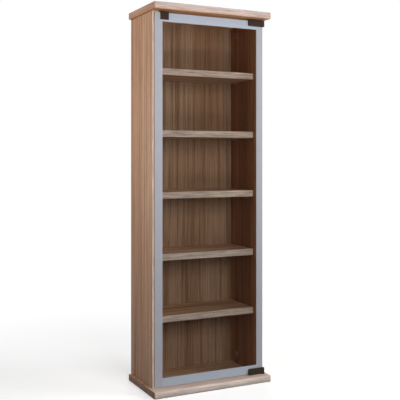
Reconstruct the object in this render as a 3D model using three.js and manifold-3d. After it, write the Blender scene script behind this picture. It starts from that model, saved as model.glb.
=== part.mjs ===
import * as THREE from 'three';
import { mergeVertices } from 'three/addons/utils/BufferGeometryUtils.js';
import Module from 'manifold-3d';

// Storage tower for disc cases: a chipboard carcass on flat plates, with a frameless glass door.
// Millimetres, X to the right, Y to the back, Z up, origin on the floor under the middle.

const wasm = await Module();
wasm.setup();

// Overall size
const towerWidth = 308;
const towerDepth = 178;
const towerHeight = 915;

// Boards
const plateThickness = 16;
const plateOverhang = 7; // past the side panels, left and right
const plateEdgeRadius = 1.5;
const plateCornerRadius = 3;
const sideThickness = 16;
const sideEdgeRadius = 0.8;
const backThickness = 3;
const backLap = 8; // how far the back panel reaches into each side panel
const backClearance = 0.5;
const shelfCount = 5;
const shelfThickness = 16;
const shelfEdgeRadius = 0.8;
const shelfSetback = 18; // behind the side panels' front edges
const shelfEndClearance = 1.2;
const shelfRearClearance = 0.5;

// Door
const doorSetback = 26; // of the glass behind the plates' front edges
const glassThickness = 4;
const glassArris = 0.5;
const glassCornerRadius = 2;
const doorSideReveal = 3; // of each side panel past the glass
const doorGapBottom = 2;
const doorGapTop = 3.5;
const doorAirGap = 2; // between the glass and the side panels' front edges

// Hinges: a clamp shoe on the glass, with a pin that turns in a bush in the plate
const shoeLength = 44;
const shoeHeight = 15;
const shoeFrontThickness = 5;
const shoeFloorThickness = 1.5;
const shoeEndThickness = 3;
const shoeFlangeThickness = 3;
const shoeFlangeClearance = 2.5; // to the side panel's inner face
const shoeNoseRadius = 3;
const shoeHeelRadius = 3;
const shoeEdgeRadius = 0.8;
const shoeCornerRadius = 1.2;
const pivotInset = 4; // of the pivot from the shoe's end
const pressurePlateThickness = 1.2;
const pressurePlateMargin = 2;
const clampScrewRadius = 2;
const clampScrewSpacing = 14;
const clampHeadRadius = 3.5;
const clampHeadHeight = 2;
const clampSlotWidth = 0.9;
const clampSlotDepth = 1;
const hingePinRadius = 1.5;
const hingePinEmbed = 9;
const hingePinReach = 8; // below the shoe
const hingePinChamfer = 0.4;
const bushRadius = 4;
const bushLength = 10;
const bushCollarRadius = 4.8;
const bushCollarThickness = 0.5;

// Strike clip and push-open catch at the door's free edge
const strikeInset = 14; // of the clip from the glass's edge
const strikeWidth = 21.5;
const strikeLegHeight = 18;
const strikeThickness = 1.5;
const strikeWebThickness = 1.2;
const strikeEdgeRadius = 0.4;
const catchLength = 44;
const catchWidth = 14;
const catchHeight = 13;
const catchEdgeRadius = 1;
const catchBoreDepth = 32;
const catchEarLength = 14;
const catchEarWidth = 4.5;
const catchEarThickness = 2.5;
const catchScrewRadius = 1.4;
const catchEarSetback = 22; // of the ears' middle behind the front face
const plungerRadius = 4;
const plungerLength = 28;
const plungerHeadRadius = 4.6;
const plungerHeadLength = 1.2;
const plungerTravel = 1.8; // free travel between its head and the housing
const magnetRadius = 4;
const magnetLength = 2.5;

// Shelf pins
const pinRadius = 2.5;
const pinStubLength = 6;
const pinCollarRadius = 3.4;
const pinCollarThickness = 1;
const pinStemLength = 8;
const pinChamfer = 0.4;
const pinInset = 30; // from the shelf's front and rear edges

// Fittings between the plates and the side panels
const fittingInset = 37; // from the side panel's front and rear edges
const camRadius = 7.5;
const camDepth = 12.5;
const camDistance = 24; // of the cam's axis from the side panel's end
const camCavityRadius = 5;
const camCrossLength = 9;
const camCrossWidth = 1.6;
const camCrossDepth = 2.5;
const boltHeadRadius = 3;
const boltHeadHeight = 2.5;
const boltNeckRadius = 1.8;
const boltShankRadius = 3;
const boltCollarRadius = 3.8;
const boltCollarThickness = 1.5;
const boltThreadRadius = 2.4;
const boltThreadLength = 11;
const boltHoleRadius = 4;
const boltTipChamfer = 1;
const dowelRadius = 4;
const dowelLength = 30;
const dowelPlateDepth = 11;
const dowelChamfer = 1;

// Fits
const boreClearance = 0.1; // radial, of round pieces in their holes
const boreEndClearance = 0.5;
const fitClearance = 0.3; // between loose pieces of one fitting
const cutOverrun = 2;

// Facets
const roundSegments = 20;
const fittingSegments = 16;
const pinSegments = 12;
const arcSegments = 4;
const edgeSegments = 2;
const mergeTolerance = 0.0001;

// Places that several pieces share
const frontY = -towerDepth / 2;
const rearY = towerDepth / 2;
const glassFrontY = frontY + doorSetback;
const glassRearY = glassFrontY + glassThickness;
const sideFrontY = glassRearY + doorAirGap;
const sideDepth = rearY - sideFrontY;
const sideOuterX = towerWidth / 2 - plateOverhang;
const sideInnerX = sideOuterX - sideThickness;
const sideMiddleX = sideInnerX + sideThickness / 2;
const innerHeight = towerHeight - 2 * plateThickness;
const backFrontY = rearY - backThickness;
const shelfFrontY = sideFrontY + shelfSetback;
const shelfDepth = backFrontY - shelfRearClearance - shelfFrontY;
const shelfPitch = innerHeight / (shelfCount + 1);
const pinYs = { front: shelfFrontY + pinInset, rear: shelfFrontY + shelfDepth - pinInset };
const dowelY = sideFrontY + fittingInset;
const camY = rearY - fittingInset;
const glassRightX = sideOuterX - doorSideReveal;
const glassBottomZ = plateThickness + doorGapBottom;
const glassTopZ = towerHeight - plateThickness - doorGapTop;
const pivotX = glassRightX + shoeEndThickness - pivotInset;
const pivotY = glassFrontY - shoeFrontThickness / 2;
const strikeX = -glassRightX + strikeInset + strikeWidth / 2;
const strikeRearY = glassRearY + strikeThickness;
const catchAxisZ = towerHeight - plateThickness - catchHeight / 2;
const catchFrontY = strikeRearY + magnetLength + plungerHeadLength + plungerTravel;

const sides = [
  { name: 'left', sign: -1, inward: 'right', outward: 'left' },
  { name: 'right', sign: 1, inward: 'left', outward: 'right' },
];
const ends = [
  { name: 'bottom', sign: 1, faceZ: plateThickness, inward: 'up', outward: 'down' },
  { name: 'top', sign: -1, faceZ: towerHeight - plateThickness, inward: 'down', outward: 'up' },
];

// Solids

// A closed solid from a geometry, with its shared corners merged and its empty triangles dropped.
function solidFrom(geometry) {
  const shell = geometry.clone();
  shell.deleteAttribute('normal');
  shell.deleteAttribute('uv');
  const merged = mergeVertices(shell, mergeTolerance);
  const corners = merged.index.array;
  const triangles = [];
  for (let i = 0; i < corners.length; i += 3) {
    const [a, b, c] = corners.slice(i, i + 3);
    if (a !== b && b !== c && c !== a) triangles.push(a, b, c);
  }
  return new wasm.Manifold(new wasm.Mesh({
    numProp: 3,
    vertProperties: new Float32Array(merged.getAttribute('position').array),
    triVerts: new Uint32Array(triangles),
  }));
}

function geometryFrom(solid) {
  const shell = solid.getMesh();
  const geometry = new THREE.BufferGeometry();
  geometry.setAttribute('position', new THREE.BufferAttribute(shell.vertProperties, 3));
  geometry.setIndex(new THREE.BufferAttribute(shell.triVerts, 1));
  geometry.computeVertexNormals();
  return geometry;
}

function cut(solid, tools) {
  return tools.reduce((rest, tool) => rest.subtract(tool), solid);
}

// Turned and drilled shapes are made along +Z and then laid along one of these directions.
const layings = {
  up: geometry => geometry,
  down: geometry => geometry.rotateX(Math.PI),
  right: geometry => geometry.rotateY(Math.PI / 2),
  left: geometry => geometry.rotateY(-Math.PI / 2),
  back: geometry => geometry.rotateX(-Math.PI / 2),
  front: geometry => geometry.rotateX(Math.PI / 2),
};

// A profile of [radius, distance] points, from the axis back to the axis, turned about its axis.
function turned(profile, direction, place = [0, 0, 0], segments = roundSegments) {
  const points = profile.map(([radius, distance]) => new THREE.Vector2(radius, distance));
  const geometry = new THREE.LatheGeometry(points, segments).rotateX(Math.PI / 2);
  return solidFrom(layings[direction](geometry).translate(...place));
}

function rod(radius, length, direction, place, segments) {
  return turned([[0, 0], [radius, 0], [radius, length], [0, length]], direction, place, segments);
}

// A drill that enters at a face and runs past it outwards.
function drill(radius, depth, direction, place, segments) {
  const profile = [[0, -cutOverrun], [radius, -cutOverrun], [radius, depth], [0, depth]];
  return turned(profile, direction, place, segments);
}

function block(low, high) {
  const size = high.map((value, i) => value - low[i]);
  const middle = high.map((value, i) => (value + low[i]) / 2);
  return solidFrom(new THREE.BoxGeometry(...size).translate(...middle));
}

// An outline of square corners [x, y, radius], in order round the shape.
function roundedOutline(corners) {
  const shape = new THREE.Shape();
  corners.forEach(([x, y, radius = 0], i) => {
    const corner = new THREE.Vector2(x, y);
    const before = new THREE.Vector2(...corners.at(i - 1)).sub(corner).normalize().multiplyScalar(radius);
    const after = new THREE.Vector2(...corners[(i + 1) % corners.length]).sub(corner).normalize();
    after.multiplyScalar(radius);
    const start = corner.clone().add(before);
    if (i === 0) shape.moveTo(start.x, start.y);
    else shape.lineTo(start.x, start.y);
    if (radius === 0) return;
    const centre = start.clone().add(after);
    const from = after.clone().negate().angle();
    const to = before.clone().negate().angle();
    const clockwise = before.cross(after) > 0;
    shape.absarc(centre.x, centre.y, radius, from, to, clockwise);
  });
  shape.closePath();
  return shape;
}

function extruded(shape, length) {
  const settings = { depth: length, bevelEnabled: false, curveSegments: arcSegments };
  return new THREE.ExtrudeGeometry(shape, settings);
}

// The same, with its two end faces rounded off into the outline.
function easedExtruded(shape, length, radius, segments = edgeSegments) {
  const settings = {
    depth: length - 2 * radius,
    bevelThickness: radius,
    bevelSize: radius,
    bevelOffset: -radius,
    bevelSegments: segments,
    curveSegments: arcSegments,
  };
  return new THREE.ExtrudeGeometry(shape, settings).translate(0, 0, radius);
}

// Drawn as Y and Z, and extruded along X.
function sectionAlongX(geometry) {
  const basis = new THREE.Matrix4().makeBasis(
    new THREE.Vector3(0, 1, 0), new THREE.Vector3(0, 0, 1), new THREE.Vector3(1, 0, 0));
  return geometry.applyMatrix4(basis);
}

// Drawn as X and Z, and extruded towards the front.
function outlineTowardsFront(geometry) {
  const basis = new THREE.Matrix4().makeBasis(
    new THREE.Vector3(1, 0, 0), new THREE.Vector3(0, 0, 1), new THREE.Vector3(0, -1, 0));
  return geometry.applyMatrix4(basis);
}

// Materials

function finish(color, roughness, metalness = 0) {
  return new THREE.MeshStandardMaterial({ color, roughness, metalness, flatShading: true });
}

const oakBoard = finish(0xbb9d80, 0.55);
const backBoard = finish(0x8d7560, 0.7);
const blackPlastic = finish(0x2a2828, 0.5);
const darkPlastic = finish(0x3a3633, 0.55);
const steel = finish(0xb9bcc0, 0.35, 0.9);
const blackSteel = finish(0x2b2b2d, 0.45, 0.6);
const dieCastZinc = finish(0x9a9da1, 0.45, 0.8);
const beech = finish(0xd3b48a, 0.7);
const ferrite = finish(0x4b4c50, 0.4, 0.7);
const bushPlastic = finish(0x1f1f20, 0.4);
const clearGlass = new THREE.MeshStandardMaterial({
  color: 0xdfe9ea, roughness: 0.05, metalness: 0, transparent: true, opacity: 0.3, flatShading: true,
});

// Carcass

const fittingPlaces = sides.flatMap(side => [
  { x: side.sign * sideMiddleX, y: dowelY, radius: dowelRadius + boreClearance, depth: dowelPlateDepth },
  { x: side.sign * sideMiddleX, y: camY, radius: boltThreadRadius + boreClearance, depth: boltThreadLength },
]);

// A plate with its lower face at Z = 0, bored in the face that meets the side panels.
function plate(end) {
  const halfWidth = towerWidth / 2;
  const halfDepth = towerDepth / 2;
  const outline = roundedOutline([
    [-halfWidth, -halfDepth, plateCornerRadius],
    [halfWidth, -halfDepth, plateCornerRadius],
    [halfWidth, halfDepth, plateCornerRadius],
    [-halfWidth, halfDepth, plateCornerRadius],
  ]);
  const board = solidFrom(easedExtruded(outline, plateThickness, plateEdgeRadius));
  const innerZ = end.sign > 0 ? plateThickness : 0;
  const bushPlace = [pivotX, pivotY, innerZ];
  const bushHole = drill(bushRadius + boreClearance, bushLength + boreEndClearance, end.outward, bushPlace);
  const fittingHoles = fittingPlaces.map(({ x, y, radius, depth }) =>
    drill(radius, depth, end.outward, [x, y, innerZ], fittingSegments));
  return cut(board, [bushHole, ...fittingHoles]);
}

// A side panel with its inner face at X = 0, its front edge at Y = 0 and its lower end at Z = 0.
function sidePanel(side) {
  const inward = x => side.sign * x;
  const section = roundedOutline([
    [0, 0, sideEdgeRadius],
    [inward(sideThickness), 0, sideEdgeRadius],
    [inward(sideThickness), sideDepth],
    [inward(backLap), sideDepth],
    [inward(backLap), sideDepth - backThickness],
    [0, sideDepth - backThickness],
  ]);
  const board = solidFrom(extruded(section, innerHeight));
  const holes = [];
  for (let shelf = 1; shelf <= shelfCount; shelf += 1) {
    for (const y of Object.values(pinYs)) {
      const place = [0, y - sideFrontY, shelf * shelfPitch - pinRadius];
      const depth = pinStemLength + boreEndClearance;
      holes.push(drill(pinRadius + boreClearance, depth, side.outward, place, pinSegments));
    }
  }
  for (const end of ends) {
    const endZ = end.faceZ - plateThickness;
    const middle = inward(sideThickness / 2);
    const dowelDepth = dowelLength - dowelPlateDepth + boreEndClearance;
    const dowelPlace = [middle, dowelY - sideFrontY, endZ];
    holes.push(drill(dowelRadius + boreClearance, dowelDepth, end.inward, dowelPlace, fittingSegments));
    const boltPlace = [middle, camY - sideFrontY, endZ];
    holes.push(drill(boltHoleRadius, camDistance, end.inward, boltPlace, fittingSegments));
    const camPlace = [0, camY - sideFrontY, endZ + end.sign * camDistance];
    holes.push(drill(camRadius + boreClearance, camDepth, side.outward, camPlace));
  }
  return cut(board, holes);
}

function backPanel() {
  const halfWidth = sideInnerX + backLap - backClearance;
  return block([-halfWidth, 0, 0], [halfWidth, backThickness, innerHeight]);
}

// A shelf centred on X, with its front edge at Y = 0 and its underside at Z = 0.
function shelfBoard() {
  const width = 2 * (sideInnerX - shelfEndClearance);
  const section = roundedOutline([
    [0, 0, shelfEdgeRadius],
    [shelfDepth, 0],
    [shelfDepth, shelfThickness],
    [0, shelfThickness, shelfEdgeRadius],
  ]);
  return solidFrom(sectionAlongX(extruded(section, width)).translate(-width / 2, 0, 0));
}

// A pin with its collar against the side panel, its stub under the shelf and its stem in the hole.
function shelfPin(side) {
  return turned([
    [0, -pinStemLength],
    [pinRadius - pinChamfer, -pinStemLength],
    [pinRadius, pinChamfer - pinStemLength],
    [pinRadius, 0],
    [pinCollarRadius, 0],
    [pinCollarRadius, pinCollarThickness],
    [pinRadius, pinCollarThickness],
    [pinRadius, pinCollarThickness + pinStubLength - pinChamfer],
    [pinRadius - pinChamfer, pinCollarThickness + pinStubLength],
    [0, pinCollarThickness + pinStubLength],
  ], side.inward, [0, 0, 0], pinSegments);
}

// Fittings

// The eccentric: a cavity for the bolt's head, a mouth where the head goes in, and a slot round
// the quarter turn that takes the neck from the mouth to the locked place below the axis.
function camHousing() {
  const boltDepth = sideThickness / 2;
  const headRoom = boltHeadRadius + fitClearance;
  const neckRoom = boltNeckRadius + fitClearance;
  const rim = camRadius + cutOverrun;
  const body = rod(camRadius, camDepth, 'right');
  const cavity = rod(camCavityRadius, 2 * headRoom, 'right', [boltDepth - headRoom, 0, 0]);
  const mouth = rod(headRoom, rim, 'back', [boltDepth, 0, 0], fittingSegments);
  const lockedTurn = -Math.PI / 2 - Math.asin(neckRoom / camCavityRadius);
  const sector = new THREE.Shape();
  sector.moveTo(0, 0);
  sector.lineTo(rim * Math.cos(lockedTurn), rim * Math.sin(lockedTurn));
  sector.absarc(0, 0, rim, lockedTurn, 0, false);
  sector.closePath();
  const slot = sectionAlongX(extruded(sector, 2 * neckRoom)).translate(boltDepth - neckRoom, 0, 0);
  const half = camCrossLength / 2;
  const halfSlot = camCrossWidth / 2;
  const cross = [
    block([-cutOverrun, -half, -halfSlot], [camCrossDepth, half, halfSlot]),
    block([-cutOverrun, -halfSlot, -half], [camCrossDepth, halfSlot, half]),
  ];
  return cut(body, [cavity, mouth, solidFrom(slot), ...cross]);
}

// The bolt, with its collar on the plate at Z = 0, its thread below and its head in the cam.
function camBolt(end) {
  const headSeat = camDistance - Math.sqrt(camCavityRadius ** 2 - boltHeadRadius ** 2) + boreClearance;
  const shankEnd = camDistance - camRadius - fitClearance;
  return turned([
    [0, boreEndClearance - boltThreadLength],
    [boltThreadRadius - boltTipChamfer, boreEndClearance - boltThreadLength],
    [boltThreadRadius, boreEndClearance + boltTipChamfer - boltThreadLength],
    [boltThreadRadius, 0],
    [boltCollarRadius, 0],
    [boltCollarRadius, boltCollarThickness],
    [boltShankRadius, boltCollarThickness],
    [boltShankRadius, shankEnd],
    [boltNeckRadius, shankEnd],
    [boltNeckRadius, headSeat],
    [boltHeadRadius, headSeat],
    [boltHeadRadius, headSeat + boltHeadHeight],
    [0, headSeat + boltHeadHeight],
  ], end.inward, [0, 0, 0], fittingSegments);
}

// A dowel that starts at the floor of the plate's hole, at Z = 0.
function dowel(end) {
  return turned([
    [0, 0],
    [dowelRadius - dowelChamfer, 0],
    [dowelRadius, dowelChamfer],
    [dowelRadius, dowelLength - dowelChamfer],
    [dowelRadius - dowelChamfer, dowelLength],
    [0, dowelLength],
  ], end.inward, [0, 0, 0], fittingSegments);
}

// Door, in a group whose origin is the pivot's axis on the floor

function glassPane() {
  const right = glassRightX - pivotX;
  const left = -glassRightX - pivotX;
  const outline = roundedOutline([
    [left, glassBottomZ, glassCornerRadius],
    [right, glassBottomZ, glassCornerRadius],
    [right, glassTopZ, glassCornerRadius],
    [left, glassTopZ, glassCornerRadius],
  ]);
  const pane = outlineTowardsFront(easedExtruded(outline, glassThickness, glassArris, 1));
  return solidFrom(pane.translate(0, glassRearY - pivotY, 0));
}

// Places in the shoe, from the pivot's axis and the shoe's outer face
const shoeLeft = pivotInset - shoeLength;
const shoeFront = -shoeFrontThickness / 2;
const slotFront = shoeFrontThickness / 2;
const slotGlassRear = slotFront + glassThickness;
const slotRear = slotGlassRear + pressurePlateThickness;
const flangeRear = slotRear + shoeFlangeThickness;
const flangeRight = sideInnerX - shoeFlangeClearance - pivotX;
const flangeMiddle = (shoeLeft + flangeRight) / 2;
const clampScrewZ = (shoeFloorThickness + shoeHeight) / 2;
const clampScrewXs = {
  outer: flangeMiddle - clampScrewSpacing / 2,
  inner: flangeMiddle + clampScrewSpacing / 2,
};

// The clamp shoe: one eased body, slotted for the glass and the pressure plate, with its rear
// flange cut short so that it stands inside the side panel.
function hingeShoe(end) {
  const upward = z => end.sign * z;
  const outline = roundedOutline([
    [shoeLeft, 0, shoeHeelRadius],
    [pivotInset, 0, shoeCornerRadius],
    [pivotInset, upward(shoeHeight), shoeCornerRadius],
    [shoeLeft, upward(shoeHeight), shoeNoseRadius],
  ]);
  const length = flangeRear - shoeFront;
  const moulding = outlineTowardsFront(easedExtruded(outline, length, shoeEdgeRadius));
  const body = solidFrom(moulding.translate(0, flangeRear, 0));
  const between = (low, high) => [Math.min(upward(low), upward(high)), Math.max(upward(low), upward(high))];
  const [slotLow, slotHigh] = between(shoeFloorThickness, shoeHeight + cutOverrun);
  const [fullLow, fullHigh] = between(-cutOverrun, shoeHeight + cutOverrun);
  const slot = block(
    [shoeLeft - cutOverrun, slotFront, slotLow],
    [pivotInset - shoeEndThickness, slotRear, slotHigh]);
  const shortening = block(
    [flangeRight, slotGlassRear, fullLow],
    [pivotInset + cutOverrun, flangeRear + cutOverrun, fullHigh]);
  const pinBore = drill(hingePinRadius + boreClearance, hingePinEmbed, end.inward, [0, 0, 0]);
  const screwBores = Object.values(clampScrewXs).map(x => drill(
    clampScrewRadius + boreClearance, shoeFlangeThickness + pressurePlateThickness / 2, 'front',
    [x, flangeRear, upward(clampScrewZ)], fittingSegments));
  return cut(body, [slot, shortening, pinBore, ...screwBores]);
}

function pressurePlate(end) {
  const low = end.sign * (shoeFloorThickness + pressurePlateMargin);
  const high = end.sign * (shoeHeight - pressurePlateMargin);
  return block(
    [shoeLeft + pressurePlateMargin, slotGlassRear, Math.min(low, high)],
    [flangeRight - pressurePlateMargin, slotRear, Math.max(low, high)]);
}

// A clamp screw that points to the front, with its head's seat at Y = 0.
function clampScrew() {
  const screw = turned([
    [0, -clampHeadHeight],
    [clampHeadRadius - clampSlotDepth / 2, -clampHeadHeight],
    [clampHeadRadius, clampSlotDepth - clampHeadHeight],
    [clampHeadRadius, 0],
    [clampScrewRadius, 0],
    [clampScrewRadius, shoeFlangeThickness],
    [0, shoeFlangeThickness],
  ], 'front', [0, 0, 0], fittingSegments);
  const half = clampSlotWidth / 2;
  const reach = clampHeadRadius + cutOverrun;
  const slotFloor = clampHeadHeight - clampSlotDepth;
  return cut(screw, [block([-reach, slotFloor, -half], [reach, clampHeadHeight + cutOverrun, half])]);
}

// The pin starts at the floor of its bore in the shoe and runs out into the plate.
function hingePin(end) {
  const length = hingePinEmbed + hingePinReach;
  return turned([
    [0, 0],
    [hingePinRadius, 0],
    [hingePinRadius, length - hingePinChamfer],
    [hingePinRadius - hingePinChamfer, length],
    [0, length],
  ], end.outward);
}

// The bush, with its collar on the plate at Z = 0 and its sleeve in the plate.
function hingeBush(end) {
  const bore = hingePinRadius + boreClearance;
  return turned([
    [bore, -bushCollarThickness],
    [bushCollarRadius, -bushCollarThickness],
    [bushCollarRadius, 0],
    [bushRadius, 0],
    [bushRadius, bushLength],
    [bore, bushLength],
    [bore, -bushCollarThickness],
  ], end.outward);
}

// The strike clip, a channel over the glass's top edge, centred on X, from the glass's top corner.
function strikeClip() {
  const outline = roundedOutline([
    [-strikeThickness, strikeWebThickness, strikeEdgeRadius],
    [-strikeThickness, strikeWebThickness - strikeLegHeight, strikeEdgeRadius],
    [0, strikeWebThickness - strikeLegHeight],
    [0, 0],
    [glassThickness, 0],
    [glassThickness, strikeWebThickness - strikeLegHeight],
    [glassThickness + strikeThickness, strikeWebThickness - strikeLegHeight, strikeEdgeRadius],
    [glassThickness + strikeThickness, strikeWebThickness, strikeEdgeRadius],
  ]);
  return solidFrom(sectionAlongX(extruded(outline, strikeWidth)).translate(-strikeWidth / 2, 0, 0));
}

// Catch, from the middle of the housing's front face

function catchHousing() {
  const halfWidth = catchWidth / 2;
  const halfHeight = catchHeight / 2;
  const section = roundedOutline([
    [-halfWidth, halfHeight],
    [-halfWidth, -halfHeight, 2 * catchEdgeRadius],
    [halfWidth, -halfHeight, 2 * catchEdgeRadius],
    [halfWidth, halfHeight],
  ]);
  const box = outlineTowardsFront(extruded(section, catchLength));
  const body = solidFrom(box.translate(0, catchLength, 0));
  const earReach = halfWidth + catchEarWidth;
  const earOutline = roundedOutline([
    [-earReach, -catchEarLength / 2, catchEarWidth / 2],
    [earReach, -catchEarLength / 2, catchEarWidth / 2],
    [earReach, catchEarLength / 2, catchEarWidth / 2],
    [-earReach, catchEarLength / 2, catchEarWidth / 2],
  ]);
  const earPlate = easedExtruded(earOutline, catchEarThickness, catchEdgeRadius / 2);
  const ears = solidFrom(earPlate.translate(0, catchEarSetback, halfHeight - catchEarThickness));
  const screwHoles = sides.map(side => drill(
    catchScrewRadius, catchEarThickness + cutOverrun, 'up',
    [side.sign * (halfWidth + catchEarWidth / 2), catchEarSetback, halfHeight - catchEarThickness],
    pinSegments));
  const bore = drill(plungerRadius + boreClearance, catchBoreDepth, 'back', [0, 0, 0]);
  return cut(body.add(ears), [bore, ...screwHoles]);
}

// The plunger, with the back of its magnet at Y = 0.
function catchPlunger() {
  return turned([
    [0, 0],
    [plungerHeadRadius, 0],
    [plungerHeadRadius, plungerHeadLength],
    [plungerRadius, plungerHeadLength],
    [plungerRadius, plungerHeadLength + plungerLength],
    [0, plungerHeadLength + plungerLength],
  ], 'back');
}

// Assembly

function addPiece(parent, name, solid, material, place) {
  const piece = new THREE.Mesh(geometryFrom(solid), material);
  piece.name = name;
  piece.position.set(...place);
  parent.add(piece);
  return piece;
}

function addCarcass(parent) {
  addPiece(parent, 'base_plate', plate(ends[0]), oakBoard, [0, 0, 0]);
  addPiece(parent, 'top_plate', plate(ends[1]), oakBoard, [0, 0, towerHeight - plateThickness]);
  for (const side of sides) {
    const place = [side.sign * sideInnerX, sideFrontY, plateThickness];
    addPiece(parent, `side_panel_${side.name}`, sidePanel(side), oakBoard, place);
  }
  addPiece(parent, 'back_panel', backPanel(), backBoard, [0, backFrontY, plateThickness]);
}

function addShelves(parent) {
  for (let shelf = 1; shelf <= shelfCount; shelf += 1) {
    const underside = plateThickness + shelf * shelfPitch;
    addPiece(parent, `shelf_${shelf}`, shelfBoard(), oakBoard, [0, shelfFrontY, underside]);
    for (const side of sides) {
      for (const [row, y] of Object.entries(pinYs)) {
        const place = [side.sign * sideInnerX, y, underside - pinRadius];
        addPiece(parent, `shelf_pin_${shelf}_${side.name}_${row}`, shelfPin(side), steel, place);
      }
    }
  }
}

function addFittings(parent) {
  for (const side of sides) {
    for (const end of ends) {
      const joint = `${end.name}_${side.name}`;
      const middleX = side.sign * sideMiddleX;
      const camPlace = [side.sign * sideInnerX, camY, end.faceZ + end.sign * camDistance];
      const cam = addPiece(parent, `cam_${joint}`, camHousing(), dieCastZinc, camPlace);
      // The same casting serves all four joints: turned over for the top, turned round for the left.
      if (side.sign < 0) cam.rotateZ(Math.PI);
      if (end.sign < 0) cam.rotateX(Math.PI);
      addPiece(parent, `cam_bolt_${joint}`, camBolt(end), steel, [middleX, camY, end.faceZ]);
      const dowelFoot = end.faceZ - end.sign * dowelPlateDepth;
      addPiece(parent, `dowel_${joint}`, dowel(end), beech, [middleX, dowelY, dowelFoot]);
    }
  }
}

function addHingeBushes(parent) {
  for (const end of ends) {
    addPiece(parent, `hinge_bush_${end.name}`, hingeBush(end), bushPlastic, [pivotX, pivotY, end.faceZ]);
  }
}

function addCatch(parent) {
  const place = [strikeX, catchFrontY, catchAxisZ];
  addPiece(parent, 'catch_housing', catchHousing(), darkPlastic, place);
}

function addPlunger(parent) {
  const group = new THREE.Group();
  group.position.set(strikeX, strikeRearY, catchAxisZ);
  addPiece(group, 'catch_magnet', rod(magnetRadius, magnetLength, 'back'), ferrite, [0, 0, 0]);
  addPiece(group, 'catch_plunger', catchPlunger(), darkPlastic, [0, magnetLength, 0]);
  parent.add(group);
}

function addHinge(parent, end) {
  const hinge = new THREE.Group();
  const edgeZ = end.sign > 0 ? glassBottomZ : glassTopZ;
  hinge.position.set(0, 0, edgeZ - end.sign * shoeFloorThickness);
  addPiece(hinge, `hinge_shoe_${end.name}`, hingeShoe(end), blackPlastic, [0, 0, 0]);
  addPiece(hinge, `hinge_pressure_plate_${end.name}`, pressurePlate(end), blackSteel, [0, 0, 0]);
  addPiece(hinge, `hinge_pin_${end.name}`, hingePin(end), steel, [0, 0, end.sign * hingePinEmbed]);
  for (const [row, x] of Object.entries(clampScrewXs)) {
    const place = [x, flangeRear, end.sign * clampScrewZ];
    addPiece(hinge, `clamp_screw_${end.name}_${row}`, clampScrew(), blackSteel, place);
  }
  parent.add(hinge);
}

function addDoor(parent) {
  const door = new THREE.Group();
  door.position.set(pivotX, pivotY, 0);
  addPiece(door, 'door_glass', glassPane(), clearGlass, [0, 0, 0]);
  ends.forEach(end => addHinge(door, end));
  const strikePlace = [strikeX - pivotX, glassFrontY - pivotY, glassTopZ];
  addPiece(door, 'strike_clip', strikeClip(), blackSteel, strikePlace);
  parent.add(door);
}

const tower = new THREE.Group();
addCarcass(tower);
addShelves(tower);
addFittings(tower);
addHingeBushes(tower);
addCatch(tower);
addPlunger(tower);
addDoor(tower);

export default tower;
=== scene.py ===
import math

import bmesh
import bpy
from mathutils import Matrix, Vector


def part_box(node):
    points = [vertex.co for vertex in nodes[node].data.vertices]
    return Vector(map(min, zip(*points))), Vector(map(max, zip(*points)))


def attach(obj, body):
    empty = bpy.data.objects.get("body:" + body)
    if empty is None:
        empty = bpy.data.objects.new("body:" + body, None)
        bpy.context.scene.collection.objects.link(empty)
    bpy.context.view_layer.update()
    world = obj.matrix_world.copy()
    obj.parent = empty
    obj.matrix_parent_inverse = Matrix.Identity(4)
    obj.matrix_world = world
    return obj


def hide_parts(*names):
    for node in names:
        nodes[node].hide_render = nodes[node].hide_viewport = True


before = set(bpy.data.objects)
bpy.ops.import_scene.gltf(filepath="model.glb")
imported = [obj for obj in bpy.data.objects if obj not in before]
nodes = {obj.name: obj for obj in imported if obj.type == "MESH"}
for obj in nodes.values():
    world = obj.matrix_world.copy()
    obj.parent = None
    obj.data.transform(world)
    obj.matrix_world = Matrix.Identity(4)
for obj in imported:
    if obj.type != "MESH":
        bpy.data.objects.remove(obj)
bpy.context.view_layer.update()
print("frame loaded:", len(nodes), "nodes")


# Camera

cameraSetup = {
    "place": (-0.80221, -1.74146, 0.55413),
    "turn": 28.014,  # degrees to the right of straight ahead
    "lens": 69.28,
    "sensor": 36,
    "shift": (-0.1091, -0.1047),
    "clip": (0.05, 60),
}


def makeCamera(setup):
    data = bpy.data.cameras.new("photoCamera")
    data.lens = setup["lens"]
    data.sensor_width = setup["sensor"]
    data.sensor_fit = "HORIZONTAL"
    data.shift_x, data.shift_y = setup["shift"]
    data.clip_start, data.clip_end = setup["clip"]
    camera = bpy.data.objects.new("photoCamera", data)
    camera.location = setup["place"]
    camera.rotation_euler = (math.radians(90), 0, math.radians(-setup["turn"]))
    bpy.context.scene.collection.objects.link(camera)
    bpy.context.scene.camera = camera


makeCamera(cameraSetup)
bpy.context.scene.view_settings.view_transform = "Standard"
print("camera made")


# Node helpers, for shader and geometry trees alike

def put(tree, kind, inputs=None, **settings):
    made = tree.nodes.new(kind)
    for name, value in settings.items():
        setattr(made, name, value)
    for key, value in (inputs or {}).items():
        socket = made.inputs[key]
        if isinstance(value, bpy.types.NodeSocket):
            tree.links.new(value, socket)
        else:
            socket.default_value = value
    return made


def maths(tree, operation, *values):
    made = put(tree, "ShaderNodeMath", dict(enumerate(values)), operation=operation)
    return made.outputs[0]


def rising(tree, value, low, high, bottom=0, top=1):
    # 0 below low, 1 above high, and smooth between
    values = {"Value": value, "From Min": low, "From Max": high, "To Min": bottom, "To Max": top}
    return put(tree, "ShaderNodeMapRange", values, interpolation_type="SMOOTHSTEP").outputs["Result"]


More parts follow.
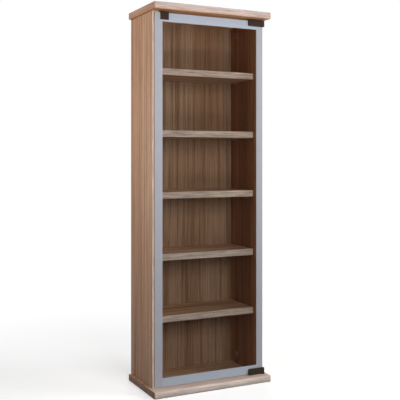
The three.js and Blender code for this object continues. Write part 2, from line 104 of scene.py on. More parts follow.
def layer(tree, vector, setup):
    # noise as its dictionary describes it, lifted to 0 and 1 outside "rises" where it has that
    grain = put(tree, "ShaderNodeTexNoise", {
        "Vector": vector, "Scale": setup["scale"], "Detail": setup["detail"],
        "Roughness": setup["roughness"], "Distortion": setup.get("distortion", 0),
    }).outputs["Fac"]
    return rising(tree, grain, *setup["rises"]) if "rises" in setup else grain


def swung(tree, value, amount, middle=1):
    # a value of 0 to 1 made into a factor that swings by the amount round the middle
    return maths(tree, "MULTIPLY_ADD", value, amount, middle - amount / 2)


def axes(tree, vector):
    return put(tree, "ShaderNodeSeparateXYZ", {0: vector}).outputs


def mixed(tree, share, first, second):
    return put(tree, "ShaderNodeMixShader", {0: share, 1: first, 2: second}).outputs[0]


def blendColour(tree, share, first, second, mode="MIX"):
    # the node's sockets 0, 6, 7 and 2 are the ones that work on colours
    made = put(tree, "ShaderNodeMix", data_type="RGBA", blend_type=mode, clamp_factor=True)
    for socket, value in zip((made.inputs[0], made.inputs[6], made.inputs[7]), (share, first, second)):
        if isinstance(value, bpy.types.NodeSocket):
            tree.links.new(value, socket)
        else:
            socket.default_value = value
    return made.outputs[2]


def greyOf(tree, value):
    return put(tree, "ShaderNodeCombineColor", {0: value, 1: value, 2: value}).outputs[0]


def shaded(tree, colour, factor):
    return blendColour(tree, 1.0, colour, greyOf(tree, factor), "MULTIPLY")


def linear(red, green, blue):
    # a colour as it is seen, 0 to 255, to the numbers that a shader takes
    def decoded(value):
        share = value / 255
        return share / 12.92 if share <= 0.04045 else ((share + 0.055) / 1.055) ** 2.4
    return (decoded(red), decoded(green), decoded(blue), 1)


def newMaterial(name):
    material = bpy.data.materials.new(name)
    material.use_nodes = True
    tree = material.node_tree
    tree.nodes.clear()
    output = tree.nodes.new("ShaderNodeOutputMaterial")
    return material, tree, output


def finishMaterial(tree, output, colour, roughness, height, depth, shine=0.5, metallic=0.0):
    bump = put(tree, "ShaderNodeBump", {"Height": height, "Distance": depth, "Strength": 1.0})
    shader = put(tree, "ShaderNodeBsdfPrincipled", {
        "Base Color": colour, "Roughness": roughness, "Normal": bump.outputs["Normal"],
        "Specular IOR Level": shine, "Metallic": metallic})
    tree.links.new(shader.outputs["BSDF"], output.inputs["Surface"])


def objectCoordinates(tree):
    return put(tree, "ShaderNodeTexCoord").outputs["Object"]


def dress(name, material):
    # a CAD node takes the material in every slot it has
    data = nodes[name].data
    if not data.materials:
        data.materials.append(material)
    for i in range(len(data.materials)):
        data.materials[i] = material


# Studio: a white room with five soft lamps

studio = {
    "ambient": (0, 0.05),  # from the horizon and below, and from above
    "ambientRise": (0, 0.9),  # between these heights of the direction the first turns into the second
    "lamps": {
        "front": {"place": (0.05, -1.8, 0.9), "aim": (0, 0, 0.4),
                  "size": (0.9, 0.7), "power": 22, "spread": 180},
        "frontLow": {"place": (0, -1.3, 0.1), "aim": (0, -0.07, 0.9),
                     "size": (0.6, 0.3), "power": 0.95, "spread": 60},
        "left": {"place": (-1.45, -0.06, 0.95), "aim": (-0.15, 0, 0.76),
                 "size": (0.5, 0.5), "power": 3.1, "spread": 86},
        "right": {"place": (2.0, -1.3, 1.5), "aim": (0, 0, 0.5),
                  "size": (1.2, 1.2), "power": 30, "spread": 180},
        "rear": {"place": (0.5, 2.3, 1.5), "aim": (0, 0, 0.5),
                 "size": (1.4, 1.4), "power": 32, "spread": 180},
    },
    "floorRadius": 6.0,
    "floorSides": 64,
    "floorSeen": 0.8,  # how pale the floor is to the camera
    "floorBounce": 0.06,  # and to the light that it throws back
    "floorLift": 0.44,  # light of its own, which leaves the shadow on it soft
    "shadowReach": (0.35, 1.1),  # distances over which the shadow ends in plain white
}


def seenDirectly(tree):
    # camera, mirror and glass rays
    path = put(tree, "ShaderNodeLightPath").outputs
    most = maths(tree, "MAXIMUM", path["Is Camera Ray"], path["Is Glossy Ray"])
    return maths(tree, "MAXIMUM", most, path["Is Transmission Ray"])


def makeWorld(setup):
    world = bpy.data.worlds.new("whiteRoom")
    world.use_nodes = True
    tree = world.node_tree
    tree.nodes.clear()
    direction = put(tree, "ShaderNodeTexCoord").outputs["Generated"]
    level = rising(tree, axes(tree, direction)[2], *setup["ambientRise"], *setup["ambient"])
    around = put(tree, "ShaderNodeBackground", {"Color": (1, 1, 1, 1), "Strength": level})
    white = put(tree, "ShaderNodeBackground", {"Color": (1, 1, 1, 1), "Strength": 1.0})
    result = mixed(tree, seenDirectly(tree), around.outputs[0], white.outputs[0])
    output = tree.nodes.new("ShaderNodeOutputWorld")
    tree.links.new(result, output.inputs["Surface"])
    bpy.context.scene.world = world


def makeLamp(name, setup):
    data = bpy.data.lights.new(name, "AREA")
    data.shape = "RECTANGLE"
    data.size, data.size_y = setup["size"]
    data.energy = setup["power"]
    data.spread = math.radians(setup["spread"])
    lamp = bpy.data.objects.new(name, data)
    lamp.visible_glossy = lamp.visible_transmission = False  # so that the pane shows no lamp
    lamp.location = setup["place"]
    direction = Vector(setup["aim"]) - Vector(setup["place"])
    lamp.rotation_euler = direction.to_track_quat("-Z", "Y").to_euler()
    bpy.context.scene.collection.objects.link(lamp)


def makeFloor(setup):
    mesh = bpy.data.meshes.new("floor")
    shape = bmesh.new()
    bmesh.ops.create_circle(shape, cap_ends=True, segments=setup["floorSides"],
                             radius=setup["floorRadius"])
    shape.to_mesh(mesh)
    shape.free()
    floor = bpy.data.objects.new("floor", mesh)
    bpy.context.scene.collection.objects.link(floor)
    material, tree, output = newMaterial("paleFloor")
    place = objectCoordinates(tree)
    distance = put(tree, "ShaderNodeVectorMath", {0: place}, operation="LENGTH").outputs["Value"]
    reach = rising(tree, distance, *setup["shadowReach"])
    seen = seenDirectly(tree)
    bounce = setup["floorBounce"]
    shade = maths(tree, "MULTIPLY_ADD", seen, setup["floorSeen"] - bounce, bounce)
    matt = put(tree, "ShaderNodeBsdfDiffuse", {"Color": greyOf(tree, shade)})
    glow = maths(tree, "MULTIPLY", seen, setup["floorLift"])
    lift = put(tree, "ShaderNodeEmission", {"Color": (1, 1, 1, 1), "Strength": glow})
    shadowed = put(tree, "ShaderNodeAddShader", {0: matt.outputs[0], 1: lift.outputs[0]})
    white = put(tree, "ShaderNodeEmission", {"Color": (1, 1, 1, 1), "Strength": 1.0})
    share = maths(tree, "MULTIPLY", reach, seen)
    tree.links.new(mixed(tree, share, shadowed.outputs[0], white.outputs[0]), output.inputs["Surface"])
    mesh.materials.append(material)


makeWorld(studio)
for lampName, lampSetup in studio["lamps"].items():
    makeLamp(lampName + "Lamp", lampSetup)
makeFloor(studio)
print("studio made")


# Oak decor: one pattern for all boards, with the grain along the pattern's X

oak = {
    "pale": linear(208, 169, 138),
    "warm": linear(188, 141, 108),
    "streak": linear(136, 96, 70),
    "pore": linear(92, 62, 45),
    "edgeBand": linear(216, 194, 178),
    # noises; one that is 0.1 along is drawn out ten times along the grain
    "tone": {"along": 0.07, "scale": 15, "detail": 3, "roughness": 0.55, "rises": (0.36, 0.64)},
    "streaks": {"along": 0.02, "scale": 110, "detail": 4, "roughness": 0.65, "rises": (0.42, 0.66)},
    "fibres": {"along": 0.03, "scale": 620, "detail": 3, "roughness": 0.6},
    "pores": {"along": 0.045, "scale": 900, "detail": 2, "roughness": 0.5, "distortion": 0.2,
              "rises": (0.62, 0.72)},
    "sawMarks": {"along": 1.0, "across": 0.05, "scale": 420, "detail": 2, "roughness": 0.5},
    "mottle": {"along": 0.065, "scale": 340, "detail": 4, "roughness": 0.65},
    # growth rings round a trunk that runs beside the board
    "rings": {"along": 0.10, "trunk": (0, 0.006, 0.03), "pitch": 0.0065,
              "distortion": 3.5, "detail": 3, "detailScale": 0.12, "rises": (0.55, 0.98)},
    # how much each darkens the colour, swings the shade and lifts the surface
    "darkens": {"streaks": 0.7, "rings": 0.4, "pores": 0.55},
    "shades": {"fibres": 0.5, "sawMarks": 0.08},
    "lifts": {"fibres": 0.35, "pores": -0.8, "sawMarks": 0.15},
    "mottleRises": (0.3, 0.7),
    "mottleTones": (0.58, 1.42),  # how dark and how light the edge bands are at the ends of their mottle
    "roughness": 0.5,
    "rougher": 0.12,  # in the streaks, and again in the pores
    "shine": 0.2,
    "bumpDepth": 0.00012,
}


def makeOakPattern(look):
    tree = bpy.data.node_groups.new("oakPattern", "ShaderNodeTree")
    tree.interface.new_socket(name="Vector", in_out="INPUT", socket_type="NodeSocketVector")
    for name, kind in (("Colour", "Color"), ("Roughness", "Float"), ("Height", "Float"), ("Mottle", "Float")):
        tree.interface.new_socket(name=name, in_out="OUTPUT", socket_type="NodeSocket" + kind)
    place = tree.nodes.new("NodeGroupInput").outputs["Vector"]

    def stretched(along, across=1.0):
        return put(tree, "ShaderNodeMapping", {"Vector": place, "Scale": (along, across, across)}).outputs[0]

    parts = {}
    for name in ("tone", "streaks", "fibres", "pores", "sawMarks", "mottle"):
        setup = look[name]
        parts[name] = layer(tree, stretched(setup["along"], setup.get("across", 1.0)), setup)
    setup = look["rings"]
    trunk = put(tree, "ShaderNodeMapping", {"Vector": stretched(setup["along"]), "Location": setup["trunk"]})
    scale = 2 * math.pi / 20 / setup["pitch"]  # at scale 1 the node draws a ring every 2 pi / 20
    rings = put(tree, "ShaderNodeTexWave", {
        "Vector": trunk.outputs[0], "Scale": scale, "Distortion": setup["distortion"],
        "Detail": setup["detail"], "Detail Scale": setup["detailScale"],
    }, wave_type="RINGS", rings_direction="X", wave_profile="SAW")
    parts["rings"] = rising(tree, rings.outputs["Fac"], *setup["rises"])

    colour = blendColour(tree, parts["tone"], look["pale"], look["warm"])
    for name, share in look["darkens"].items():
        dark = look["pore" if name == "pores" else "streak"]
        colour = blendColour(tree, maths(tree, "MULTIPLY", parts[name], share), colour, dark)
    shades = [swung(tree, parts[name], swing) for name, swing in look["shades"].items()]
    colour = shaded(tree, colour, maths(tree, "MULTIPLY", *shades))
    rough = look["roughness"]
    for name in ("streaks", "pores"):
        rough = maths(tree, "MULTIPLY_ADD", parts[name], look["rougher"], rough)
    height = 0.0
    for name, lift in look["lifts"].items():
        height = maths(tree, "MULTIPLY_ADD", parts[name], lift, height)
    output = tree.nodes.new("NodeGroupOutput")
    results = {"Colour": colour, "Roughness": rough, "Height": height, "Mottle": parts["mottle"]}
    for name, socket in results.items():
        tree.links.new(socket, output.inputs[name])
    return tree


oakPattern = makeOakPattern(oak)
grainTurns = {"x": (0, 0, 0), "y": (0, 0, math.radians(-90)), "z": (0, math.radians(90), 0)}


def oakSample(tree, place, grain, offset):
    turned = put(tree, "ShaderNodeMapping", {
        "Vector": place, "Rotation": grainTurns[grain], "Location": offset})
    group = put(tree, "ShaderNodeGroup", node_tree=oakPattern)
    tree.links.new(turned.outputs[0], group.inputs["Vector"])
    return group.outputs


def pastPlane(tree, place, side, plane):
    # side is "<x", ">y" and so on: 1 where the coordinate lies on that side of the plane
    part = axes(tree, place)["xyz".index(side[1])]
    return maths(tree, "LESS_THAN" if side[0] == "<" else "GREATER_THAN", part, plane)


chipboard = {
    "cells": 700,
    "specks": {"scale": 480, "detail": 3, "roughness": 0.6},
    "cellLight": (0.35, 0.8),  # how much it varies, and what it is at the least
    "speckLight": (0.9, 0.5),
    "colour": linear(176, 146, 110),
}


def chipboardSample(tree, place, look=chipboard):
    grains = put(tree, "ShaderNodeTexVoronoi", {"Vector": place, "Scale": look["cells"], "Randomness": 1.0},
                 feature="F1")
    cells = put(tree, "ShaderNodeSeparateColor", {0: grains.outputs["Color"]}).outputs[0]
    light = maths(tree, "MULTIPLY_ADD", layer(tree, place, look["specks"]), *look["speckLight"])
    light = maths(tree, "MULTIPLY", light, maths(tree, "MULTIPLY_ADD", cells, *look["cellLight"]))
    return shaded(tree, look["colour"], light), light


def bandTintAndShading(tree, place, tint, box):
    # one tint, or a pair of them from the board's foot to its top; most of them are painted light and shade
    if len(tint) == 3:
        return (*tint, 1)
    below, above = ((*part, 1) for part in tint)
    return blendColour(tree, rising(tree, axes(tree, place)[2], box[0].z, box[1].z), below, above)


def boardMaterial(node, setup, look=oak):
    # bands are (side, plane, paleness, tint, mottle share) of faces that look different, most tints being
    # painted light and shade; where a band fades out towards the back, (last full Y, first bare Y); raw are
    # (side, plane) of sawn edges
    material, tree, output = newMaterial("oak_" + node)
    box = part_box(node)
    place = objectCoordinates(tree)
    grain, offset = setup["grain"], setup["offset"]
    face = oakSample(tree, place, grain, offset)
    colour, height = face["Colour"], face["Height"]
    for side, plane, paleness, tint, mottleShare, *fade in setup["bands"]:
        mask = pastPlane(tree, place, side, plane)
        if fade:
            mask = maths(tree, "MULTIPLY", mask, rising(tree, axes(tree, place)[1], *fade[0], 1, 0))
        edge = face
        if grain == "x" and side[1] == "x":
            edge = oakSample(tree, place, "y", offset)
        paler = blendColour(tree, paleness, edge["Colour"], look["edgeBand"])
        paler = blendColour(tree, 1.0, paler, bandTintAndShading(tree, place, tint, box), "MULTIPLY")
        mottle = rising(tree, edge["Mottle"], *look["mottleRises"], *look["mottleTones"])
        paler = blendColour(tree, mottleShare, paler, shaded(tree, paler, mottle))
        colour = blendColour(tree, mask, colour, paler)
    for side, plane in setup.get("raw", ()):
        mask = pastPlane(tree, place, side, plane)
        chips, bumps = chipboardSample(tree, place)
        colour = blendColour(tree, mask, colour, chips)
        height = maths(tree, "MULTIPLY_ADD", mask, bumps, height)
    finishMaterial(tree, output, colour, face["Roughness"], height, look["bumpDepth"], look["shine"])
    return material


edgeDepth = 0.0005
rawEndDepth = 0.0002
rawRearDepth = 0.0032
edgeMottle = 0.5
# inner faces of the sides darker and warmer: painted shade inside the tower
innerShadeTint = (0.86, 0.7, 0.52)
plateLow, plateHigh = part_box("base_plate")
sideLow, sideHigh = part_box("side_panel_left")
shelfLow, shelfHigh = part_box("shelf_1")
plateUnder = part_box("top_plate")[0].z


def plateBands(endShadingTint, longShadingTint):
    ends, longSides = 0.12, 0.68  # paleness
    # the tints on the ends and on the long sides are painted light and shade
    return [("<x", plateLow.x + edgeDepth, ends, endShadingTint, 0),
            (">x", plateHigh.x - edgeDepth, ends, endShadingTint, 0),
            ("<y", plateLow.y + edgeDepth, longSides, longShadingTint, edgeMottle),
            (">y", plateHigh.y - edgeDepth, longSides, longShadingTint, edgeMottle)]


# the sides' front edge band; its tint is painted light, lighter at the foot than at the top
sideBandsWithLight = [("<y", sideLow.y + edgeDepth, 0.72, ((1.1, 1.17, 1.25), (0.87, 0.93, 0.99)), edgeMottle)]
rawRear = [(">y", sideHigh.y - rawRearDepth)]
rawEnds = [("<x", shelfLow.x + rawEndDepth), (">x", shelfHigh.x - rawEndDepth)]
boards = {
    "base_plate": {
        "grain": "x", "offset": (0.3, 0.02, 0.11),
        # the top face's front ledge, paler and bluer: a painted sheen that fades out towards the back
        "bands": [(">z", plateHigh.z - edgeDepth, 0.7, (1.02, 1.07, 1.18), edgeMottle, (-0.058, -0.02)),
                  # painted shade on the ends; long sides painted darker at the foot and lighter towards the
                  # top edge, a painted highlight
                  *plateBands((0.45, 0.4, 0.35), ((0.65, 0.76, 0.9), (1.24, 1.39, 1.58)))]},
    "top_plate": {
        "grain": "x", "offset": (1.7, 0.05, -0.9),
        # the underside painted lighter: painted light from below
        "bands": [("<z", plateUnder + edgeDepth, 0, (1.55, 1.42, 1.18), 0),
                  # ends painted a little lighter; long sides painted darker at the foot and lighter and bluer
                  # at the top edge
                  *plateBands((1.14, 1.12, 1.1), ((0.79, 0.73, 0.765), (0.805, 0.93, 1.1)))]},
    "side_panel_left": {
        "grain": "z", "offset": (0.2, 0.04, -0.11), "raw": rawRear,
        "bands": [(">x", sideHigh.x - edgeDepth, 0, innerShadeTint, 0), *sideBandsWithLight]},
    "side_panel_right": {
        "grain": "z", "offset": (2.4, -0.03, 0.17), "raw": rawRear,
        "bands": [("<x", edgeDepth - sideHigh.x, 0, innerShadeTint, 0), *sideBandsWithLight]},
}
shelfCount = 5
for k in range(1, shelfCount + 1):
    boards[f"shelf_{k}"] = {
        "grain": "x", "offset": (0.9 * k, 0.013 * k, 0.21 - 0.16 * k), "raw": rawEnds,
        "bands": [("<y", shelfLow.y + edgeDepth, 0.5, (0.88, 0.96, 1.06), 0.85)]}
for node, setup in boards.items():
    dress(node, boardMaterial(node, setup))
print("oak boards finished:", len(boards))


# Back panel: thin fibreboard with the same decor on both faces, made darker as painted shade at the back of
# the compartments

backLook = {
    "offset": (3.1, 0.07, 0.4),
    "darkerForShade": 0.6,
    "edge": linear(120, 92, 66),
    "edgeDepth": 0.0002,
    "shine": 0.2,
    "bumpDepth": 0.0001,
}


def backMaterial(look):
    material, tree, output = newMaterial("backBoard")
    place = objectCoordinates(tree)
    face = oakSample(tree, place, "z", look["offset"])
    # painted shade: the decor darkened all over
    shade = look["darkerForShade"]
    colour = blendColour(tree, 1.0, face["Colour"], (shade, shade, shade, 1), "MULTIPLY")
    low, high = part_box("back_panel")
    for side, plane in (("<x", low.x + look["edgeDepth"]), (">x", high.x - look["edgeDepth"])):
        colour = blendColour(tree, pastPlane(tree, place, side, plane), colour, look["edge"])
    finishMaterial(tree, output, colour, face["Roughness"], face["Height"], look["bumpDepth"], look["shine"])
    return material


dress("back_panel", backMaterial(backLook))
print("back panel finished")


# Glass door: clear pane with a satin band round its edge, on the front face

glassLook = {
    "band": {"left": 0.0198, "right": 0.0175, "top": 0.0215, "bottom": 0.0215},
    "skin": 0.0004,  # how deep the front face and the rim are taken to be
    "satin": linear(165, 165, 173),
    "satinLitAcross": linear(169, 177, 189),  # painted light: bluer and lighter along the top and the foot, where no board lies behind the band
    "satinTurn": (-0.005, 0.006),  # from the side strips' inner edges on, where the one turns into the other
    "grain": {"scale": 2600, "detail": 2, "roughness": 0.6},
    "grainSwing": 0.10,
    "cloud": {"scale": 30, "detail": 2, "roughness": 0.5},
    "cloudSwing": 0.06,
    "satinThrough": linear(150, 160, 172),
    "throughShare": 0.1,
    "bandRoughness": 0.42,
    "bandPasses": 0.85,  # share of the lamps' light that passes the band and the rim
    # brown and dark: painted reflection of the wood in the pane's edge, and painted shade in the gap beside
    # it
    "rim": linear(128, 104, 92),
    "rimRoughness": 0.3,
    # grey, which darkens what is seen through the pane: painted shade inside the tower
    "clear": (0.72, 0.73, 0.72, 1),
    "lampsPass": (0.9, 0.91, 0.9, 1),
    "shine": 0.5,
    "ior": 1.1,  # low, so that the pane mirrors the white room as weakly as in the photograph
}


def leastOf(tree, values):
    least, *others = values
    for value in others:
        least = maths(tree, "MINIMUM", least, value)
    return least


def satinShader(tree, place, past, look):
    # fine etched grain that scatters light both ways
    grain = swung(tree, layer(tree, place, look["grain"]), look["grainSwing"])
    cloud = swung(tree, layer(tree, place, look["cloud"]), look["cloudSwing"])
    # where the painted light along the top and the foot of the band takes over
    across = rising(tree, leastOf(tree, (past["left"], past["right"])), *look["satinTurn"])
    colour = blendColour(tree, across, look["satin"], look["satinLitAcross"])
    colour = shaded(tree, colour, maths(tree, "MULTIPLY", grain, cloud))
    satin = put(tree, "ShaderNodeBsdfPrincipled", {"Base Color": colour, "Roughness": look["bandRoughness"]})
    through = put(tree, "ShaderNodeBsdfTranslucent", {"Color": look["satinThrough"]})
    return mixed(tree, look["throughShare"], satin.outputs[0], through.outputs[0])


def glassMaterial(look):
    material, tree, output = newMaterial("satinEdgedGlass")
    place = objectCoordinates(tree)
    low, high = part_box("door_glass")
    x, y, z = axes(tree, place)
    # distance in from each edge of the pane, and how far that lies past the band's width there
    insets = {"left": maths(tree, "SUBTRACT", x, low.x), "right": maths(tree, "SUBTRACT", high.x, x),
              "bottom": maths(tree, "SUBTRACT", z, low.z), "top": maths(tree, "SUBTRACT", high.z, z)}
    past = {side: maths(tree, "SUBTRACT", inset, look["band"][side]) for side, inset in insets.items()}
    onBand = maths(tree, "LESS_THAN", leastOf(tree, past.values()), 0.0)
    onFront = maths(tree, "LESS_THAN", y, low.y + look["skin"])
    onRim = maths(tree, "LESS_THAN", leastOf(tree, insets.values()), look["skin"])
    # light from the lamps passes the door, so that the shelves behind it are lit
    path = put(tree, "ShaderNodeLightPath").outputs
    passing = maths(tree, "MAXIMUM", path["Is Shadow Ray"], path["Is Diffuse Ray"])
    bandPassing = maths(tree, "MULTIPLY", passing, look["bandPasses"])
    opened = put(tree, "ShaderNodeBsdfTransparent", {"Color": look["lampsPass"]}).outputs[0]
    pane = put(tree, "ShaderNodeBsdfPrincipled", {
        "Base Color": look["clear"], "Roughness": 0.0, "IOR": look["ior"],
        "Transmission Weight": 1.0, "Specular IOR Level": look["shine"]}).outputs[0]
    paintedRim = put(tree, "ShaderNodeBsdfPrincipled", {
        "Base Color": look["rim"], "Roughness": look["rimRoughness"]}).outputs[0]
    clear = mixed(tree, passing, pane, opened)
    band = mixed(tree, bandPassing, satinShader(tree, place, past, look), opened)
    rim = mixed(tree, bandPassing, paintedRim, opened)
    faces = mixed(tree, maths(tree, "MULTIPLY", onBand, onFront), clear, band)
    tree.links.new(mixed(tree, onRim, faces, rim), output.inputs["Surface"])
    return material


dress("door_glass", glassMaterial(glassLook))
print("glass finished")


# Moulded plastics and metals: a fine grain, and wider patches of tint

kinds = {
    "plastic": {"fine": {"detail": 2, "roughness": 0.5},
                "patches": {"scale": 60, "detail": 3, "roughness": 0.6},
                "tintSwing": 0.3, "roughSwing": 0.16, "roughFrom": "patches"},
    "metal": {"fine": {"detail": 3, "roughness": 0.55},
              "patches": {"scale": 130, "detail": 2, "roughness": 0.5},
              "tintSwing": 0.16, "roughSwing": 0.2, "roughFrom": "fine"},
}
finishes = {
    "shoeBlack": {"kind": "plastic", "colour": linear(51, 39, 31), "roughness": 0.6,
                  "metallic": 0.0, "shine": 0.2, "grain": 1900, "depth": 0.00006},
    "catchBrown": {"kind": "plastic", "colour": linear(62, 52, 46), "roughness": 0.5,
                   "metallic": 0.0, "shine": 0.35, "grain": 1500, "depth": 0.00005},
    "bushBlack": {"kind": "plastic", "colour": linear(40, 38, 38), "roughness": 0.35,
                  "metallic": 0.0, "shine": 0.4, "grain": 2400, "depth": 0.00002},
    "nickel": {"kind": "metal", "colour": linear(214, 214, 212), "roughness": 0.26,
               "metallic": 1.0, "shine": 0.5, "grain": 900, "depth": 0.00001},
    "zinc": {"kind": "metal", "colour": linear(168, 169, 172), "roughness": 0.45,
             "metallic": 1.0, "shine": 0.5, "grain": 1200, "depth": 0.00003},
    "blackCoat": {"kind": "metal", "colour": linear(48, 34, 30), "roughness": 0.6,
                  "metallic": 0.0, "shine": 0.25, "grain": 2600, "depth": 0.00003},
    "ferrite": {"kind": "metal", "colour": linear(92, 93, 96), "roughness": 0.4,
                "metallic": 0.6, "shine": 0.5, "grain": 1400, "depth": 0.00003},
}


def finishOf(name):
    material, tree, output = newMaterial(name)
    look = finishes[name]
    kind = kinds[look["kind"]]
    place = objectCoordinates(tree)
    parts = {"fine": layer(tree, place, {"scale": look["grain"], **kind["fine"]}),
             "patches": layer(tree, place, kind["patches"])}
    colour = shaded(tree, look["colour"], swung(tree, parts["patches"], kind["tintSwing"]))
    rough = swung(tree, parts[kind["roughFrom"]], kind["roughSwing"], look["roughness"])
    finishMaterial(tree, output, colour, rough, parts["fine"], look["depth"], look["shine"], look["metallic"])
    return material


materials = {name: finishOf(name) for name in finishes}
for end in ("bottom", "top"):
    dress("hinge_shoe_" + end, materials["shoeBlack"])
    dress("hinge_bush_" + end, materials["bushBlack"])
    dress("hinge_pin_" + end, materials["nickel"])
    dress("hinge_pressure_plate_" + end, materials["blackCoat"])
    for row in ("outer", "inner"):
        dress(f"clamp_screw_{end}_{row}", materials["blackCoat"])
    for side in ("left", "right"):
        dress(f"cam_{end}_{side}", materials["zinc"])
        dress(f"cam_bolt_{end}_{side}", materials["nickel"])
dress("catch_housing", materials["catchBrown"])
dress("catch_plunger", materials["catchBrown"])
dress("catch_magnet", materials["ferrite"])
dress("strike_clip", materials["blackCoat"])
print("plastics and metals finished:", len(materials))


# Beech dowels

beech = {
    "pale": linear(222, 194, 152),
    "dark": linear(190, 154, 110),
    "along": 0.08,
    "fibres": {"scale": 900, "detail": 3, "roughness": 0.6},
    "fibresRise": (0.35, 0.7),
    "flecks": {"scale": 2200, "detail": 1, "roughness": 0.5, "rises": (0.6, 0.7)},
    "fleckShare": 0.4,
    "roughness": 0.62,
    "depth": 0.00005,
}


def beechMaterial(look):
    material, tree, output = newMaterial("beech")
    place = objectCoordinates(tree)
    drawnOut = put(tree, "ShaderNodeMapping", {"Vector": place, "Scale": (1, 1, look["along"])}).outputs[0]
    fibres = layer(tree, drawnOut, look["fibres"])
    flecks = layer(tree, drawnOut, look["flecks"])
    colour = blendColour(tree, rising(tree, fibres, *look["fibresRise"]), look["pale"], look["dark"])
    colour = blendColour(tree, maths(tree, "MULTIPLY", flecks, look["fleckShare"]), colour, look["dark"])
    finishMaterial(tree, output, colour, look["roughness"], fibres, look["depth"])
    return material


beechWood = beechMaterial(beech)
for end in ("bottom", "top"):
    for side in ("left", "right"):
        dress(f"dowel_{end}_{side}", beechWood)
print("dowels finished")


# Small fittings that repeat: turned shapes, set out in rows by one geometry tree

def turnedObject(name, profile, segments):
    # a profile of (radius, distance) from the axis back to the axis, turned about Z
    mesh = bpy.data.meshes.new(name)
    shape = bmesh.new()
    rings = []
    for radius, distance in profile:
        if radius == 0:
            rings.append([shape.verts.new((0, 0, distance))])
        else:
            turns = [2 * math.pi * i / segments for i in range(segments)]
            rings.append([shape.verts.new((radius * math.cos(turn), radius * math.sin(turn), distance))
                          for turn in turns])
    for low, high in zip(rings, rings[1:]):
        for i in range(segments):
            j = (i + 1) % segments
            corners = [low[i % len(low)], low[j % len(low)], high[j % len(high)], high[i % len(high)]]
            unique = list(dict.fromkeys(corners))
            if len(unique) > 2:
                shape.faces.new(unique)
    bmesh.ops.recalc_face_normals(shape, faces=shape.faces)
    shape.to_mesh(mesh)
    shape.free()
    made = bpy.data.objects.new(name, mesh)
    bpy.context.scene.collection.objects.link(made)
    return made


def settled(made):
    # turns the evaluated object into a plain mesh and drops its modifiers
    bpy.context.view_layer.update()
    graph = bpy.context.evaluated_depsgraph_get()
    mesh = bpy.data.meshes.new_from_object(made.evaluated_get(graph))
    made.modifiers.clear()
    made.data = mesh
    return made


def cutFrom(target, cutter):
    # takes the cutter's shape out of the target and deletes the cutter
    modifier = target.modifiers.new("cut", "BOOLEAN")
    modifier.operation = "DIFFERENCE"
    modifier.solver = "EXACT"
    modifier.object = cutter
    made = settled(target)
    bpy.data.objects.remove(cutter)
    return made


def smoothed(made, angle=35):
    # smooth shading, with the edges sharper than the angle kept hard
    mesh = made.data
    for polygon in mesh.polygons:
        polygon.use_smooth = True
    mesh.set_sharp_from_angle(angle=math.radians(angle))
    return made


rowInputs = (
    ("Fitting", "NodeSocketObject", None),
    ("Rows", "NodeSocketInt", 1),
    ("Row Step", "NodeSocketVector", (0, 0, 0)),
    ("Columns", "NodeSocketInt", 1),
    ("Column Step", "NodeSocketVector", (0, 0, 0)),
    ("First Place", "NodeSocketVector", (0, 0, 0)),
    ("Direction", "NodeSocketRotation", (0, 0, 0)),
    ("Loose Turn", "NodeSocketFloat", 0.0),
    ("Seed", "NodeSocketInt", 7),
    ("Finish", "NodeSocketMaterial", None),
)


def makeRowsTree():
    tree = bpy.data.node_groups.new("fittingRows", "GeometryNodeTree")
    for name, kind, value in rowInputs:
        socket = tree.interface.new_socket(name=name, in_out="INPUT", socket_type=kind)
        if value is not None:
            socket.default_value = value
    tree.interface.new_socket(name="Geometry", in_out="OUTPUT", socket_type="NodeSocketGeometry")
    given = tree.nodes.new("NodeGroupInput").outputs
    rows = put(tree, "GeometryNodeMeshLine", {
        "Count": given["Rows"], "Start Location": given["First Place"], "Offset": given["Row Step"]})
    columns = put(tree, "GeometryNodeMeshLine", {
        "Count": given["Columns"], "Offset": given["Column Step"]})
    lattice = put(tree, "GeometryNodeInstanceOnPoints", {
        "Points": rows.outputs[0], "Instance": columns.outputs[0]})
    points = put(tree, "GeometryNodeRealizeInstances", {"Geometry": lattice.outputs[0]})
    # each fitting is turned about its own axis by a random amount, as a screw is left
    # (sockets 2 and 3 are the least and the most of a number, and output 1 is the number)
    spin = put(tree, "FunctionNodeRandomValue", {"Seed": given["Seed"], 2: -1.0, 3: 1.0}, data_type="FLOAT")
    turn = maths(tree, "MULTIPLY", spin.outputs[1], given["Loose Turn"])
    own = put(tree, "ShaderNodeCombineXYZ", {"Z": turn})
    ownTurn = put(tree, "FunctionNodeEulerToRotation", {0: own.outputs[0]})
    rotation = put(tree, "FunctionNodeRotateRotation", {
        "Rotation": given["Direction"], "Rotate By": ownTurn.outputs[0]}, rotation_space="LOCAL")
    fitting = put(tree, "GeometryNodeObjectInfo", {"Object": given["Fitting"]})
    spread = put(tree, "GeometryNodeInstanceOnPoints", {
        "Points": points.outputs[0], "Instance": fitting.outputs["Geometry"],
        "Rotation": rotation.outputs[0]})
    real = put(tree, "GeometryNodeRealizeInstances", {"Geometry": spread.outputs[0]})
    painted = put(tree, "GeometryNodeSetMaterial", {"Geometry": real.outputs[0], "Material": given["Finish"]})
    output = tree.nodes.new("NodeGroupOutput")
    tree.links.new(painted.outputs[0], output.inputs["Geometry"])
    return tree


rowsTree = makeRowsTree()


def setOut(name, fitting, body, inputs):
    made = bpy.data.objects.new(name, bpy.data.meshes.new(name))
    bpy.context.scene.collection.objects.link(made)
    modifier = made.modifiers.new("rows", "NODES")
    modifier.node_group = rowsTree
    values = {"Fitting": fitting, **inputs}
    for item in rowsTree.interface.items_tree:
        if item.in_out == "INPUT" and item.name in values:
            modifier[item.identifier] = values[item.name]
    settled(made)
    bpy.data.objects.remove(fitting)
    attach(made, body)
    return made


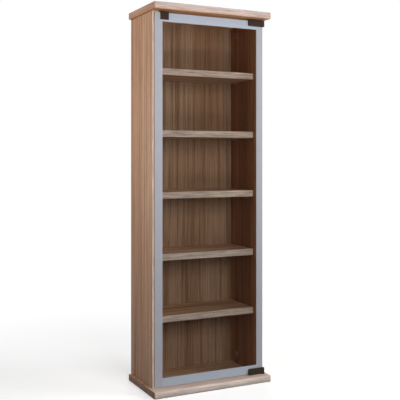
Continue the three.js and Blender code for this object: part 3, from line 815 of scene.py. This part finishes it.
shelfPin = {
    "segments": 28,
    "stubRadius": 0.0025,
    "collarRadius": 0.0034,
    "collar": 0.001,
    "stub": 0.006,
    "stem": 0.008,
    "chamfer": 0.0005,
}


def shelfPinObject(look):
    radius, collar, soft = look["stubRadius"], look["collarRadius"], look["chamfer"]
    reach = look["collar"] + look["stub"]
    return smoothed(turnedObject("shelfPin", [
        (0, -look["stem"]), (radius - soft, -look["stem"]), (radius, soft - look["stem"]), (radius, 0),
        (collar - soft / 2, 0), (collar, soft / 3), (collar, look["collar"] - soft / 3),
        (collar - soft / 2, look["collar"]), (radius, look["collar"]),
        (radius, reach - soft), (radius - soft * 0.7, reach - soft * 0.3), (radius - soft * 1.5, reach),
        (0, reach),
    ], look["segments"]))


def makeShelfPins(look):
    for side, sign in (("left", -1), ("right", 1)):
        names = {(k, row): f"shelf_pin_{k}_{side}_{row}"
                 for k in range(1, shelfCount + 1) for row in ("front", "rear")}
        low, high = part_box(names[1, "front"])
        rearLow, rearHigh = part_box(names[1, "rear"])
        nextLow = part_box(names[2, "front"])[0]
        middle = (low + high) / 2
        reach = look["collar"] + look["stub"]
        wallX = high.x - reach if sign < 0 else low.x + reach
        pins = setOut("shelfPins" + side.capitalize(), shelfPinObject(look), "carcass", {
            "Rows": shelfCount, "Row Step": (0, 0, nextLow.z - low.z),
            "Columns": 2, "Column Step": (0, (rearLow.y + rearHigh.y) / 2 - middle.y, 0),
            "First Place": (wallX, middle.y, middle.z),
            "Direction": (0, math.radians(-90 * sign), 0), "Finish": materials["nickel"]})
        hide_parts(*names.values())


makeShelfPins(shelfPin)
print("shelf pins set out")


catchScrew = {
    "headRadius": 0.0025,
    "headHeight": 0.0015,
    "dome": ((1, 0.35), (0.93, 0.7), (0.75, 0.93), (0.5, 1)),  # in shares of the radius and the height
    "recess": (0.0028, 0.0006, 0.0009),  # length, width and depth of its cross
    "segments": 24,
    "fromMiddle": 0.00925,
    "earMiddleY": -0.030,
    "earUnderZ": 0.8965,
    "looseTurn": 0.7,
    "seed": 11,
}


def crossCutter(length, width, depth, top):
    mesh = bpy.data.meshes.new("recess")
    shape = bmesh.new()
    for size in ((length, width, 2 * depth), (width, length, 2 * depth)):
        matrix = Matrix.Translation((0, 0, top)) @ Matrix.Diagonal((*size, 1))
        bmesh.ops.create_cube(shape, size=1, matrix=matrix)
    shape.to_mesh(mesh)
    shape.free()
    made = bpy.data.objects.new("recess", mesh)
    bpy.context.scene.collection.objects.link(made)
    return made


def crossHead(look):
    radius, height = look["headRadius"], look["headHeight"]
    dome = [(radius * out, height * up) for out, up in look["dome"]]
    head = turnedObject("catchScrew", [(0, 0), (radius, 0), *dome, (0, height)], look["segments"])
    return smoothed(cutFrom(head, crossCutter(*look["recess"], height)))


def makeCatchScrews(look):
    low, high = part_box("catch_housing")
    reach = look["fromMiddle"]
    setOut("catchScrews", crossHead(look), "carcass", {
        "Rows": 2, "Row Step": (2 * reach, 0, 0),
        "First Place": ((low.x + high.x) / 2 - reach, look["earMiddleY"], look["earUnderZ"]),
        "Direction": (math.pi, 0, 0), "Loose Turn": look["looseTurn"], "Seed": look["seed"],
        "Finish": materials["nickel"]})


makeCatchScrews(catchScrew)
print("catch screws set out")


backNail = {
    "headRadius": 0.0016,
    "proud": 0.0003,
    "sunk": 0.0005,
    "dome": ((1, 0.5), (0.85, 1)),  # in shares of the radius and of how proud it stands
    "segments": 20,
    "perSide": 7,
    "edgeDistance": 0.045,
    "inset": 0.0038,
    "looseTurn": 3.0,
    "seed": 5,
}


def makeBackNails(look):
    low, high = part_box("back_panel")
    pitch = (high.z - low.z - 2 * look["edgeDistance"]) / (look["perSide"] - 1)
    radius, proud, sunk = look["headRadius"], look["proud"], look["sunk"]
    dome = [(radius * out, proud * up) for out, up in look["dome"]]
    profile = [(0, -sunk), (radius, -sunk), *dome, (0, proud)]
    head = smoothed(turnedObject("backNail", profile, look["segments"]))
    setOut("backNails", head, "carcass", {
        "Rows": look["perSide"], "Row Step": (0, 0, pitch),
        "Columns": 2, "Column Step": (high.x - low.x - 2 * look["inset"], 0, 0),
        "First Place": (low.x + look["inset"], high.y, low.z + look["edgeDistance"]),
        "Direction": (math.radians(-90), 0, 0), "Loose Turn": look["looseTurn"], "Seed": look["seed"],
        "Finish": materials["nickel"]})


makeBackNails(backNail)
print("back nails set out")
